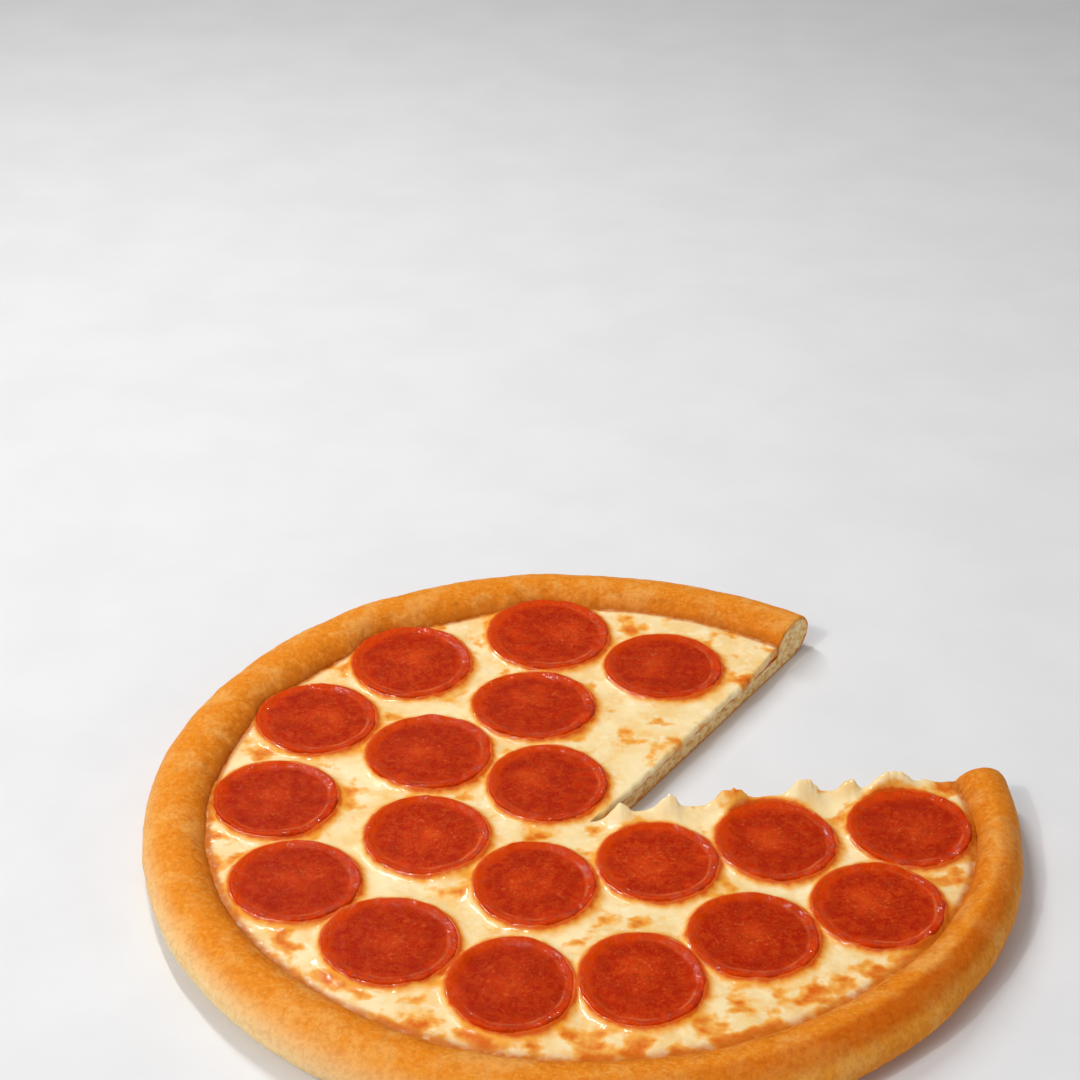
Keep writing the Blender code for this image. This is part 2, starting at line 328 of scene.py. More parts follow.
def inside(points, outline):
    """Which points lie inside a closed flat outline."""
    found = np.zeros(len(points), bool)
    for (x0, y0), (x1, y1) in zip(outline, np.roll(outline, -1, axis=0)):
        if y0 == y1:
            continue
        crosses = (points[:, 1] < y0) != (points[:, 1] < y1)
        at = x0 + (points[:, 1] - y0) / (y1 - y0) * (x1 - x0)
        found ^= crosses & (points[:, 0] < at)
    return found


def even_points(low, high, spacing):
    """Points in staggered rows over a rectangle."""
    row_gap = spacing * tan(pi / 3) / 2
    rows = np.arange(low[1], high[1], row_gap)
    columns = np.arange(low[0], high[0], spacing)
    x, y = np.meshgrid(columns, rows)
    x = x + spacing / 2 * (np.arange(len(rows)) % 2)[:, None]
    return np.column_stack([x.ravel(), y.ravel()])


def filled(outline, inner):
    """Triangles over a flat outline that use its corners and the inner points, in that order."""
    corners = [Vector(p) for p in np.vstack([outline, inner])]
    loop = list(range(len(outline)))
    out, _, faces, origins, _, _ = delaunay_2d_cdt(corners, [], [loop], 1, 1e-9)
    back = [origin[0] for origin in origins]
    return [tuple(back[v] for v in face) for face in faces]


# Materials

def paint(red, green, blue):
    """A colour as seen on a screen, 0 to 255, turned into the shader's own linear values."""
    shares = np.array((red, green, blue)) / 255
    linear = np.where(shares < 0.04045, shares / 12.92, ((shares + 0.055) / 1.055) ** 2.4)
    return (*linear, 1.0)


class Look:
    """A Principled material, with short ways to add the nodes that drive it."""

    def __init__(self, name):
        self.material = bpy.data.materials.new(name)
        self.material.use_nodes = True
        self.tree = self.material.node_tree
        self.shader = self.tree.nodes["Principled BSDF"]
        self.where = self.add("ShaderNodeTexCoord").outputs["Object"]

    def add(self, kind, **settings):
        """A new node with these settings."""
        node = self.tree.nodes.new(kind)
        for key, value in settings.items():
            setattr(node, key, value)
        return node

    def feed(self, socket, value):
        """Links a socket to another node's output, or sets its own value."""
        if isinstance(value, bpy.types.NodeSocket):
            self.tree.links.new(value, socket)
        else:
            socket.default_value = value

    def stored(self, name):
        """A number that the mesh keeps for each point."""
        return self.add("ShaderNodeAttribute", attribute_name=name).outputs["Fac"]

    def noise(self, size, detail=3.0, rough=0.55, warp=0.0, upright=1.0):
        """Noise from 0 to 1 whose lumps are about this size, and this many times taller."""
        node = self.add("ShaderNodeTexNoise")
        where = self.where
        if upright != 1:
            squeeze = self.add("ShaderNodeMapping")
            self.feed(squeeze.inputs["Vector"], where)
            squeeze.inputs["Scale"].default_value = (1, 1, 1 / upright)
            where = squeeze.outputs[0]
        self.feed(node.inputs["Vector"], where)
        node.inputs["Scale"].default_value = 1 / size
        node.inputs["Detail"].default_value = detail
        node.inputs["Roughness"].default_value = rough
        node.inputs["Distortion"].default_value = warp
        return node.outputs["Fac"]

    def math(self, operation, first, second, clamp=False):
        """One sum on two values."""
        node = self.add("ShaderNodeMath", operation=operation, use_clamp=clamp)
        self.feed(node.inputs[0], first)
        self.feed(node.inputs[1], second)
        return node.outputs[0]

    def between(self, value, low, high, to_low=0.0, to_high=1.0):
        """A smooth step from to_low to to_high as the value goes from low to high."""
        node = self.add("ShaderNodeMapRange", interpolation_type="SMOOTHSTEP")
        for socket, number in zip(node.inputs, (value, low, high, to_low, to_high)):
            self.feed(socket, number)
        return node.outputs[0]

    def times(self, first, second, clamp=False):
        return self.math("MULTIPLY", first, second, clamp)

    def plus(self, first, second):
        return self.math("ADD", first, second)

    def mixed(self, share, first, second, blend="MIX"):
        """This share of the second colour over the first."""
        node = self.add("ShaderNodeMix", data_type="RGBA", blend_type=blend)
        for socket, value in zip((node.inputs[0], node.inputs[6], node.inputs[7]), (share, first, second)):
            self.feed(socket, value)
        return node.outputs[2]

    def graded(self, value, stops):
        """Colours set along a value from 0 to 1."""
        node = self.add("ShaderNodeValToRGB")
        elements = node.color_ramp.elements
        while len(elements) < len(stops):
            elements.new(0.5)
        for element, (place, colour) in zip(elements, stops):
            element.position = place
            element.color = colour
        self.feed(node.inputs[0], value)
        return node.outputs[0]

    def bumped(self, *layers):
        """Stacks bump layers: (height, distance in metres, strength)."""
        normal = None
        for height, distance, strength in layers:
            node = self.add("ShaderNodeBump")
            node.inputs["Distance"].default_value = distance
            node.inputs["Strength"].default_value = strength
            self.feed(node.inputs["Height"], height)
            if normal:
                self.feed(node.inputs["Normal"], normal)
            normal = node.outputs[0]
        self.feed(self.shader.inputs["Normal"], normal)
        self.feed(self.shader.inputs["Coat Normal"], normal)

    def finish(self, **values):
        """Sets or links the shader's sockets by name, with _ for a space."""
        for name, value in values.items():
            self.feed(self.shader.inputs[name.replace("_", " ")], value)
        return self.material


def crust_look():
    """Baked dough: gold to orange, paler with painted light low on the outer left, tanned with painted shade
    on one shoulder, darker at the cheese with painted crease shade, pale crumb where cut with painted shade
    in its pits.
    """
    look = Look("crust")
    side = look.stored("side")
    baked = look.graded(side, (
        (0.00, paint(240, 190, 116)),
        (0.10, paint(232, 134, 40)),
        (0.28, paint(226, 136, 38)),
        (0.46, paint(228, 144, 44)),
        (0.66, paint(226, 132, 28)),
        (0.86, paint(212, 116, 20)),
        (1.00, paint(190, 98, 20)),
    ))
    # Painted light, with some paler dough: the lower outer side is lightened where the lamp and the floor's
    # bounce light it.
    light = look.times(look.stored("light"), look.between(side, 0.24, 0.60, 1, 0))
    baked = look.mixed(light, baked, paint(252, 226, 172))
    pale = look.between(look.noise(0.015, 4, 0.6), 0.46, 0.64)
    baked = look.mixed(look.times(pale, 0.38), baked, paint(240, 186, 104))
    speckle = look.between(look.noise(0.0020, 4, 0.7), 0.46, 0.60, 0, 0.26)
    baked = look.mixed(speckle, baked, paint(182, 84, 8))
    # The same painted light again, laid over the browning.
    baked = look.mixed(look.times(light, 0.5), baked, paint(252, 222, 164))
    fine = look.between(look.noise(0.0016, 4, 0.65, upright=2.0), 0.46, 0.68)
    baked = look.mixed(look.times(fine, 0.34), baked, paint(240, 176, 84))
    # Painted shade, with some tan: the outer shoulder on the near right is darkened by multiplying its
    # colour.
    shoulder = look.times(look.between(side, 0.42, 0.54), look.between(side, 0.62, 0.71, 1, 0))
    tanned_and_shaded = look.times(look.stored("tan"), shoulder)
    baked = look.mixed(tanned_and_shaded, baked, paint(218, 173, 118), "MULTIPLY")
    toasted = look.between(look.noise(0.014, 6, 0.68, 0.2), 0.44, 0.60, 0, 0.85)
    underneath = look.times(look.between(side, 0.01, 0.09, 1, 0), toasted)
    baked = look.mixed(underneath, baked, paint(186, 106, 40))
    # Darker at the foot by the cheese: baked streaks and painted shade in the crease.
    uneven = look.between(look.noise(0.005, 5, 0.65), 0.3, 0.7, -0.07, 0.07)
    foot = look.between(look.plus(side, uneven), 0.76, 0.94)
    streaks_and_crease_shade = look.between(look.noise(0.0020, 3, 0.6, upright=4.0), 0.36, 0.64, 0.34, 0.76)
    baked = look.mixed(look.times(foot, streaks_and_crease_shade), baked, paint(166, 84, 12))
    # Painted light: the inner wall above the foot is lightened against the shade it gets there.
    inner = look.times(look.between(side, 0.80, 0.85), look.between(side, 0.90, 0.96, 0.22, 0))
    baked = look.mixed(inner, baked, paint(240, 140, 40))
    cells = look.between(look.noise(0.0022, 3), 0.35, 0.65)
    crumb = look.mixed(cells, paint(252, 226, 174), paint(242, 202, 134))
    # Painted shade in the crumb's bubble hollows.
    crumb = look.mixed(look.stored("pit_shade"), crumb, paint(224, 170, 98))
    colour = look.mixed(look.stored("skin"), crumb, baked)
    look.bumped((look.noise(0.0030, 3), 0.0007, 0.48), (look.noise(0.0011, 3, 0.6), 0.0004, 0.38))
    grain = look.between(look.noise(0.0055, 6, 0.74), 0.46, 0.58)
    rough = look.between(grain, 0, 1, 0.50, 0.66)
    return look.finish(Base_Color=colour, Roughness=rough, Specular_IOR_Level=0.03)


def cheese_look():
    """Melted cheese: cream with soft yellow shadows, browned spots, orange oil round the slices, and a brown
    edge with painted contact shade at the rim.
    """
    look = Look("cheese")
    cloud = look.between(look.noise(0.012, 3, 0.5), 0.34, 0.66)
    colour = look.mixed(cloud, paint(245, 222, 170), paint(238, 200, 132))
    veil = look.between(look.noise(0.006, 3, 0.55), 0.50, 0.70)
    colour = look.mixed(look.times(veil, 0.6), colour, paint(250, 236, 200))
    faint = look.between(look.noise(0.0090, 3, 0.55), 0.56, 0.68)
    colour = look.mixed(look.times(faint, 0.50), colour, paint(242, 186, 92))
    toast = look.plus(look.noise(0.0108, 3, 0.50, 0.10), look.times(look.stored("bake"), 0.13))
    colour = look.mixed(look.between(toast, 0.57, 0.67, 0, 0.95), colour, paint(240, 170, 64))
    depth = look.between(look.noise(0.0045, 4, 0.6), 0.30, 0.62, 0.55, 1.0)
    spots = look.times(look.between(toast, 0.62, 0.77), depth)
    colour = look.mixed(spots, colour, paint(214, 98, 0))
    wander = look.plus(look.times(look.noise(0.0040, 4), 1.3), 0.32)
    oil = look.times(look.stored("oil"), wander)
    colour = look.mixed(look.between(oil, 0.08, 0.46, 0, 0.9), colour, paint(236, 160, 46))
    colour = look.mixed(look.between(oil, 0.34, 0.82), colour, paint(212, 84, 0))
    # The brown edge at the rim: browned cheese with painted contact shade.
    uneven = look.between(look.noise(0.004, 4, 0.6), 0.35, 0.6, 0.74, 1.0)
    browned_shaded_crease = look.times(look.stored("browned_shaded_crease"), uneven)
    colour = look.mixed(browned_shaded_crease, colour, paint(190, 98, 12))
    patch = look.between(look.noise(0.0030, 3, 0.6), 0.45, 0.60)
    gloss = look.times(look.plus(look.stored("wet"), 0.10), patch)
    dull = look.math("SUBTRACT", 1.0, look.math("MAXIMUM", look.times(spots, 0.85), browned_shaded_crease))
    gloss = look.times(look.plus(gloss, 0.20), dull, clamp=True)
    look.bumped((look.noise(0.0040, 3), 0.0006, 0.30), (look.noise(0.0014, 2), 0.0002, 0.25))
    rough = look.between(look.noise(0.006, 2), 0.3, 0.7, 0.36, 0.52)
    return look.finish(
        Base_Color=colour, Roughness=rough, Subsurface_Weight=0.10, Subsurface_Radius=(1.0, 0.6, 0.25),
        Subsurface_Scale=0.002, Specular_IOR_Level=0.10, Coat_Weight=gloss, Coat_Roughness=0.08,
    )


def sauce_look():
    """Thick tomato sauce."""
    look = Look("sauce")
    colour = look.mixed(look.noise(0.002, 3), paint(212, 88, 24), paint(182, 54, 10))
    look.bumped((look.noise(0.0012, 3), 0.0004, 0.4))
    return look.finish(Base_Color=colour, Roughness=0.35)


def pepperoni_look():
    """Cured sausage: deep red, a lighter grained middle, a darker ring, and a glossy raised edge, with
    painted light on its lit side, painted shade on its other side and a painted highlight line.
    """
    look = Look("pepperoni")
    uneven = look.between(look.noise(0.007, 4, 0.6), 0.25, 0.75, -0.13, 0.13)
    reach = look.plus(look.stored("reach"), uneven)
    colour = look.graded(reach, (
        (0.00, paint(204, 66, 14)),
        (0.22, paint(190, 46, 4)),
        (0.50, paint(168, 30, 0)),
        (0.72, paint(166, 29, 0)),
        (0.86, paint(190, 42, 0)),
        (0.94, paint(200, 50, 0)),
        (1.00, paint(194, 54, 2)),
    ))
    meat = look.between(look.noise(0.0030, 5, 0.70, 0.3), 0.42, 0.60)
    colour = look.mixed(look.times(meat, 0.48), colour, paint(208, 74, 14))
    dark = look.between(look.noise(0.0060, 4, 0.65), 0.46, 0.64)
    colour = look.mixed(look.times(dark, 0.52), colour, paint(144, 20, 2))
    fat = look.between(look.noise(0.0010, 3, 0.7), 0.54, 0.70)
    middle = look.between(reach, 0.10, 0.75, 0.64, 0.24)
    colour = look.mixed(look.times(fat, middle), colour, paint(216, 98, 44))
    fleck = look.between(look.noise(0.0021, 4, 0.70, 0.2), 0.55, 0.70)
    colour = look.mixed(look.times(fleck, middle), colour, paint(220, 104, 48))
    # Painted highlight: a broken pale line inside the raised edge, away from the lit side.
    broken_highlight = look.between(look.noise(0.010, 3), 0.36, 0.60)
    colour = look.mixed(look.times(look.stored("line"), broken_highlight), colour, paint(224, 117, 60))
    # Painted light: a brighter orange-red band along the edge on the lit side.
    colour = look.mixed(look.stored("lit_band"), colour, paint(206, 62, 0))
    # A random darker tone inside the edge, and painted shade on the outer edge away from the lit side.
    colour = look.mixed(look.stored("tone_and_shade"), colour, paint(142, 24, 2))
    folds = look.math("SUBTRACT", look.noise(0.0028, 3, 0.6), 0.5)
    wrinkled = look.times(folds, look.between(look.stored("edge"), 0, 1, 0.20, 1.0))
    look.bumped((wrinkled, 0.0016, 0.60), (look.noise(0.0008, 3), 0.00025, 0.35))
    patch = look.between(look.noise(0.0030, 3, 0.6), 0.51, 0.60)
    gloss = look.plus(look.times(look.stored("greasy"), look.times(patch, 0.9)), 0.03)
    rough = look.between(look.noise(0.005, 3), 0.3, 0.7, 0.34, 0.48)
    return look.finish(
        Base_Color=colour, Roughness=rough, Specular_IOR_Level=0.11, Specular_Tint=paint(255, 90, 10),
        Coat_Weight=gloss, Coat_Roughness=0.05,
    )


# Dough

# The rim's angle where it leaves the flat underside, and where it meets the base's top
UNDER = -90.0
TOP = 180.0

# How the rim rounds off at its ends: the cut, how far back, share of the height. It starts this far from
# the slice's point, and grows between two heights.
SHOULDERS = ((NEAR_CUT, 0.0070, 0.16), (FAR_CUT, 0.0022, 0.05))
SHOULDER_HEIGHTS = (0.004, 0.012)
RIM_STARTS = 0.110

# The swell beside the near cut: share of the height, bearing, half width
RIM_SWELL = ((0.07, 17, 7),)
SWELL_HEIGHTS = (0.006, 0.014)

# Lumps, dimples and grain of the rim, as rows for relief(), and the heights between which they grow
RIM_RELIEF = ((0.00044, 0.034, 2, 0.0), (0.00022, 0.010, 2, 5.0), (0.00009, 0.0030, 2, 9.0))
RIM_RELIEF_HEIGHTS = (0.0004, 0.004)

# The crumb: bubble spacings and depths, and the distances from a face's edge over which it and the skin end
LARGE_BUBBLE, LARGE_DEPTH = 0.0034, 0.0012
SMALL_BUBBLE, SMALL_DEPTH = 0.0015, 0.0005
BUBBLE_FLATNESS = 1.5
CRUMB_GRAIN, CRUMB_GRAIN_SIZE = 0.00018, 0.0011
CRUMB_EDGE = (0.0002, 0.0012)
SKIN_EDGE = (0.0003, 0.0011)

# Where the rim is pale low on its outer side, partly less baked and partly painted light, and where its
# shoulder is tanned and painted shaded, as rows for round_rim()
PALE_AND_LIT = ((1.00, 214, 31), (0.18, -112, 26))
TAN_AND_SHADE = ((1.00, -42, 40),)


def reach_along(ways, radius):
    """How far along rays from the slice's point a circle round the pizza's middle lies."""
    lean = ways @ CUT_POINT
    return -lean + np.sqrt(lean**2 - CUT_POINT @ CUT_POINT + radius**2)


def crust_sections():
    """The dough's section along each ray from the slice's point: distance, height and rim angle."""
    share = np.linspace(0, 1, RAYS)
    share = share - ENDS_CLOSER * np.sin(2 * pi * share)
    turns = FAR_CUT + (NEAR_CUT + 360 - FAR_CUT) * share
    ways = np.column_stack([np.cos(np.radians(turns)), np.sin(np.radians(turns))])
    bearing = turns
    for _ in range(4):
        outer = outer_radius(bearing)
        foot = cheese_radius(bearing) + CLEARANCE
        middle = (outer + foot) / 2
        crossing = CUT_POINT + reach_along(ways, middle)[:, None] * ways
        bearing = bearing_of(crossing)
    half_width, height = (outer - foot) / 2, rim_height(bearing)
    columns = []
    for share in np.linspace(0, 1, UNDERSIDE_STEPS + 1)[1:]:
        columns.append((share * reach_along(ways, middle), 0 * height, UNDER + 0 * height))
    for angle in np.linspace(UNDER, TOP, RIM_STEPS)[1:]:
        radius = middle + half_width * cos(radians(angle))
        level = height / 2 * (1 + sin(radians(angle)))
        columns.append((reach_along(ways, radius), level, angle + 0 * height))
    for share in np.linspace(0, 1, UNDERSIDE_STEPS + 1)[:-1]:
        distance = (1 - share) * reach_along(ways, foot)
        columns.append((distance, BASE_THICKNESS + 0 * height, TOP + 0 * height))
    distance, level, angle = (np.array(part).T for part in zip(*columns))
    places = CUT_POINT + distance[:, :, None] * ways[:, None, :]
    return places, level, angle, distance


def cut_face(outline, numbers, bearing, count):
    """Points and triangles over one cut face of the dough, and each inner point's distance to its edge.

    outline holds distances from the slice's point and heights, numbers the same points in the mesh, and
    count the points that the mesh has before.
    """
    inner = even_points(outline.min(axis=0), outline.max(axis=0), FACE_SPACING)
    inner = inner[inside(inner, outline)]
    gap = distance_to(inner, outline)
    inner, gap = inner[gap > FACE_SPACING / 2], gap[gap > FACE_SPACING / 2]
    numbers = [*numbers, *range(count, count + len(inner))]
    order = 1 if bearing == FAR_CUT else -1
    faces = [tuple(numbers[v] for v in face[::order]) for face in filled(outline, inner)]
    flat = CUT_POINT + inner[:, :1] * direction(bearing)
    return np.column_stack([flat, inner[:, 1]]), faces, gap


def crust():
    """The dough: base and rim swept round the pizza, with a finely divided face at each cut."""
    places, level, angle, distance = crust_sections()
    rays, stations = level.shape
    tip = np.array([(*CUT_POINT, 0.0), (*CUT_POINT, BASE_THICKNESS)])
    points = [tip, np.dstack([places, level]).reshape(-1, 3)]
    turn = [np.array((UNDER, TOP)), angle.ravel()]

    def at(ray, station):
        return len(tip) + ray * stations + station

    faces = []
    for ray in range(rays - 1):
        faces.append((0, at(ray + 1, 0), at(ray, 0)))
        faces.append((1, at(ray, stations - 1), at(ray + 1, stations - 1)))
        for j in range(stations - 1):
            faces.append((at(ray, j), at(ray + 1, j), at(ray + 1, j + 1), at(ray, j + 1)))

    count = at(rays, 0)
    depth = [np.zeros(count)]
    for ray, bearing in ((0, FAR_CUT), (rays - 1, NEAR_CUT)):
        section = np.column_stack([distance[ray], level[ray]])
        outline = np.vstack([(0, 0), section, (0, BASE_THICKNESS)])
        numbers = [0, *(at(ray, j) for j in range(stations)), 1]
        inner, triangles, gap = cut_face(outline, numbers, bearing, count)
        points.append(inner)
        faces.extend(triangles)
        turn.append(np.zeros(len(inner)))
        depth.append(gap)
        count += len(inner)

    made = piece("baked_dough", np.vstack(points), faces, crust_look())
    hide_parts("crust")
    relief_of_dough(made, np.concatenate(turn), np.concatenate(depth))


def distance_to(points, outline):
    """Distance from each point to the nearest side of a closed outline."""
    nearest = np.full(len(points), np.inf)
    for start, end in zip(outline, np.roll(outline, -1, axis=0)):
        side = end - start
        share = np.clip((points - start) @ side / max(side @ side, 1e-18), 0, 1)
        away = points - start - share[:, None] * side
        nearest = np.minimum(nearest, np.hypot(away[:, 0], away[:, 1]))
    return nearest


def cut_ends(points):
    """Rounds the rim off at its two cut ends, and swells it beside the near one."""
    for bearing, shoulder, sag in SHOULDERS:
        along, behind = from_cut(points[:, :2], bearing)
        share = np.clip(1 - np.abs(behind) / shoulder, 0, 1)
        on_rim = ramp(points[:, 2], *SHOULDER_HEIGHTS) * (along > RIM_STARTS)
        points[:, 2] *= 1 - sag * (1 - np.sqrt(1 - share**2)) * on_rim
    points[:, 2] *= 1 + round_rim(bearing_of(points), RIM_SWELL) * ramp(points[:, 2], *SWELL_HEIGHTS)
    return points


def relief_of_dough(made, turn, depth):
    """Lumps and dimples on the rim, and the open crumb of the cut faces."""
    mesh = made.data
    normals = read_points(mesh, "normal")
    points = cut_ends(read_points(mesh))
    cut = ramp(depth, *CRUMB_EDGE)
    rim = ramp(points[:, 2], *RIM_RELIEF_HEIGHTS) * (depth == 0) * (turn > UNDER) * (turn < TOP)
    tall = points * (1, 1, BUBBLE_FLATNESS)
    large = 1 - ramp(bubbles(tall, LARGE_BUBBLE), 0.22, 0.50)
    small = 1 - ramp(bubbles(tall, SMALL_BUBBLE, 40.0), 0.20, 0.48)
    crumb = CRUMB_GRAIN * noise(points, CRUMB_GRAIN_SIZE) - LARGE_DEPTH * large - SMALL_DEPTH * small
    points = points + normals * (rim * relief(points, RIM_RELIEF) + cut * crumb)[:, None]
    points[:, 2] = np.maximum(points[:, 2], 0)
    set_points(mesh, points)

    bearing = bearing_of(points)
    store(made, "side", (turn - UNDER) / (TOP - UNDER))
    # Painted light, with some paler dough, low on the outer side.
    store(made, "light", round_rim(bearing, PALE_AND_LIT))
    # Tan and painted shade on the near right shoulder.
    store(made, "tan", round_rim(bearing, TAN_AND_SHADE))
    store(made, "skin", np.where(depth > 0, 1 - ramp(depth, *SKIN_EDGE), 1.0))
    # Painted shade in the crumb's hollows, deepest in the large bubbles.
    uneven = 0.6 + 0.4 * noise(points, 0.004, 50.0)
    store(made, "pit_shade", cut * np.clip((large + 0.5 * small) * uneven, 0, 1))


# Cheese

# How far the cheese runs in under the rim, its underside, and how far its edge bulges out of the cuts
RIM_OVERLAP = 0.0014
CHEESE_BOTTOM = BASE_THICKNESS + 0.0008
LIP = 0.0016
LIP_ENDS = (0.001, 0.009, 0.119, 0.126)
TUCK_IN, TUCK_DOWN = 0.0006, 0.0003

# Lumps of the surface and its grain, as rows for relief(), and how it ripples close to a slice
CHEESE_LUMPS = ((0.00034, 0.015, 2, 2.0), (0.00016, 0.0055, 2, 6.0))
CHEESE_GRAIN = ((0.00006, 0.003, 2, 12.0),)
RIPPLES = ((0.00020, 0.0036, 2, 23.0),)
RIPPLE_WIDTH = 0.0030

# How the cheese climbs against each slice: height and width, and where it falls again under the slice
CLIMB, SLOPE = 0.0016, 0.0017
UNDER_SLICE = (0.0004, 0.0016)

# How far it sinks where it meets the rim, how unevenly, and over what width
RIM_SINK, RIM_UNEVEN, RIM_LUMP, RIM_EDGE = 0.0002, 0.0003, 0.004, 0.0014

# The ridge along each cut: the cut and the ridge's height, its width, and where it starts and ends
RIDGES = ((NEAR_CUT, 0.0020), (FAR_CUT, 0.0004))
RIDGE_WIDTH = 0.0042
RIDGE_ENDS = (0.001, 0.012, 0.118, 0.127)
CLEAR_OF_SLICE = (-0.0006, 0.0014)

# The strings' roots: how far back they reach, how much sharper the wide ones are, and which way they lean
ROOT_DEPTH = 0.0034
ROOT_FADE = 1.3
SHARPER = 260
LEAN_OUT, LEAN_ALONG = 0.45, 0.25
ROOT_CLEAR = (-0.0004, 0.0012)
STRING_BULGE = 1.1

# How far oil runs out of a slice, how much farther on its right and less far on its left, and how far the
# wet cheese reaches on its near left
OIL_REACH, MORE_RIGHT, LESS_LEFT = 0.0014, 0.0012, 0.0004
WET_REACH = 0.0030

# How brown the cheese is all over and beside the rim, and how wide its dark edge is: browned, with painted
# contact shade where it meets the rim. The rows for round_rim() add to both along the near rim.
BAKE_ALL_OVER, BAKE_AT_RIM, BAKE_WIDTH = 0.25, 0.30, 0.013
BAKE_NEAR = ((0.85, -72, 62),)
CREASE, CREASE_WIDTH = 0.95, 0.0009
CREASE_NEAR = ((0.0018, -80, 60),)

# The parts of a layer's outline
TIP, FAR_SIDE, ROUND, NEAR_SIDE = range(4)
CUT_SIDES = (FAR_SIDE, NEAR_SIDE)


def layer_outline(overlap, spacing):
    """The outline of a layer on the dough, with each point's part of it and its way out of a cut."""
    turns = np.linspace(FAR_CUT, NEAR_CUT + 360, int(2 * pi * CHEESE_RADIUS * 7 / 8 / spacing))
    ways = np.column_stack([np.cos(np.radians(turns)), np.sin(np.radians(turns))])
    bearing = turns
    for _ in range(4):
        arc = CUT_POINT + reach_along(ways, cheese_radius(bearing) + overlap)[:, None] * ways
        bearing = bearing_of(arc)
    sides = []
    for end, cut in ((arc[0], FAR_CUT), (arc[-1], NEAR_CUT)):
        length = np.linalg.norm(end - CUT_POINT)
        steps = np.arange(spacing, length - spacing / 2, spacing)
        sides.append(CUT_POINT + steps[:, None] * direction(cut))
    far, near = sides
    outline = np.vstack([CUT_POINT, far, arc, near[::-1]])
    kind = np.repeat((TIP, FAR_SIDE, ROUND, NEAR_SIDE), (1, len(far), len(arc), len(near)))
    away = np.zeros_like(outline)
    away[kind == FAR_SIDE] = into_gap(FAR_CUT)
    away[kind == NEAR_SIDE] = into_gap(NEAR_CUT)
    return outline, kind, away


def in_dough(xy, margin):
    """Which points lie on the pizza and not in the taken slice's gap."""
    _, behind_near = from_cut(xy, NEAR_CUT)
    _, behind_far = from_cut(xy, FAR_CUT)
    return np.maximum(behind_near, behind_far) > margin


def cheese_top(xy):
    """Height of the cheese's surface, before the strings' roots pull it up."""
    flat, gap = flattened(xy), from_slices(xy)
    outside, to_rim = np.maximum(gap, 0), np.maximum(from_rim(xy), 0)
    level = cheese_level(xy) + relief(flat, CHEESE_LUMPS)
    level += CLIMB * np.exp(-outside / SLOPE) * (1 - ramp(-gap, *UNDER_SLICE))
    level += relief(flat, RIPPLES) * np.exp(-outside / RIPPLE_WIDTH)
    level += (RIM_UNEVEN * noise(flat, RIM_LUMP, 15.0) - RIM_SINK) * np.exp(-to_rim / RIM_EDGE)
    for bearing, ridge in RIDGES:
        along, behind = from_cut(xy, bearing)
        share = plateau(along, *RIDGE_ENDS) * ramp(gap, *CLEAR_OF_SLICE) * (along > 0)
        level += ridge * share * np.exp(-((behind / RIDGE_WIDTH) ** 2))
    return level


def pulled(xy, held):
    """How the strings drew the near cut's edge up and out. held is 1 on top and 0 under the cheese."""
    along, behind = from_cut(xy, NEAR_CUT)
    flat = np.column_stack([along, 0.12 * behind, np.zeros(len(xy))])
    amount = np.zeros(len(xy))
    for place, height, width in ROOTS:
        drawn = np.abs(along - place) / width
        amount = np.maximum(amount, height * np.exp(-(drawn ** (1.3 + SHARPER * width))))
    fibres = 1 + 0.28 * noise(flat, 0.0030, 4.0) + 0.16 * noise(flat, 0.0012, 9.0)
    share = ramp(from_slices(xy), *ROOT_CLEAR) * held * (along > 0)
    amount = amount * fibres * share * np.exp(-((np.abs(behind) / ROOT_DEPTH) ** ROOT_FADE))
    sideways = LEAN_OUT * into_gap(NEAR_CUT) + LEAN_ALONG * direction(NEAR_CUT)
    return amount[:, None] * np.array((*sideways, 1.0))


def drips(along):
    """How far the fallen strings hang below the cheese, and how far they stand out, along the near cut."""
    drop, stand = np.zeros(len(along)), np.zeros(len(along))
    for place, width, hang in DRIPS:
        share = np.exp(-(((along - place) / width) ** 4))
        drop = np.maximum(drop, hang * share)
        stand = np.maximum(stand, STRING_BULGE * width * share)
    return drop, stand


def cheese_edge(outline, kind, away):
    """Rows of points down the layer's edge: rounded, and with the fallen strings at the near cut."""
    along_near, along_far = from_cut(outline, NEAR_CUT)[0], from_cut(outline, FAR_CUT)[0]
    near = kind == NEAR_SIDE
    edge = np.isin(kind, CUT_SIDES) * plateau(np.where(near, along_near, along_far), *LIP_ENDS)
    drop, stand = drips(along_near)
    flat = flattened(outline)
    uneven = 1 + 0.45 * noise(flat, 0.009, 3.0) + 0.25 * noise(flat, 0.003, 8.0)
    bulge = edge * (LIP * uneven + stand * near)
    bottom = CHEESE_BOTTOM - drop * near * edge
    crest = cheese_top(outline)
    rows = []
    for row in range(1, SKIRT_ROWS + 1):
        turn = radians(90 - 180 * row / SKIRT_ROWS)
        lift = (1 + sin(turn)) / 2
        spot = outline + (bulge * cos(turn))[:, None] * away
        level = bottom + (crest - bottom) * lift
        rows.append(np.column_stack([spot, level]) + pulled(outline, lift**1.5))
    tuck = outline - TUCK_IN * away
    rows.append(np.column_stack([tuck, np.full(len(outline), CHEESE_BOTTOM - TUCK_DOWN)]))
    return rows


